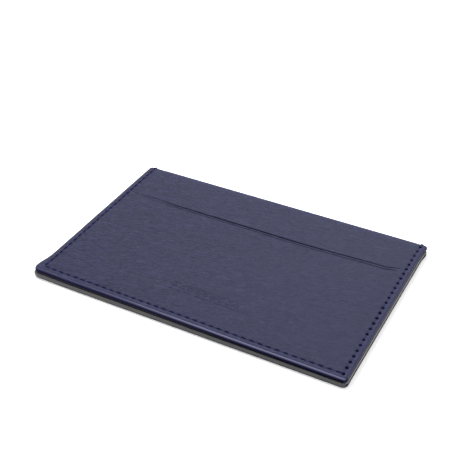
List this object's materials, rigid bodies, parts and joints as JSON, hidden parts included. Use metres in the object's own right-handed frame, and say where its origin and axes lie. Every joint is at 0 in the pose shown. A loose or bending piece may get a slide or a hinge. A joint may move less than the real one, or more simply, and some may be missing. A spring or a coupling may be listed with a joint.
{
  "type": "passport holder",
  "caption": "Flat slip-in document sleeve, sewn on three sides, with a main pocket open along the top edge and a second pocket behind a slit in the front face.",
  "frame": {"origin": "centre of the flat back face", "axes": "+X along the open mouth, +Y from the sewn bottom edge to the open top edge, +Z out of the front face"},
  "size_m": [0.155, 0.1025, 0.0051],
  "materials": {
    "outer_leather": "satin, fine wavy grain",
    "front_edge_paint": "satin painted edge",
    "back_edge_paint": "satin painted edge",
    "lining": "fine twill",
    "board": "bonded fibre",
    "seam_tape": "matt",
    "thread": "waxed twisted thread"
  },
  "bodies": {
    "root": {"back_panel": "outer_leather", "back_board": "board", "back_lining": "lining", "main_seam_tape": "seam_tape", "divider_lining": "lining", "divider_board": "board", "pocket_seam_tape": "seam_tape", "front_lining": "lining", "front_panel": "outer_leather", "back_edge_paint": "back_edge_paint", "front_edge_paint": "front_edge_paint", "slit_edge_paint": "front_edge_paint", "needle_thread": "thread", "bobbin_thread": "thread", "left_edge_tack": "thread", "right_edge_tack": "thread"}
  },
  "joints": []
}
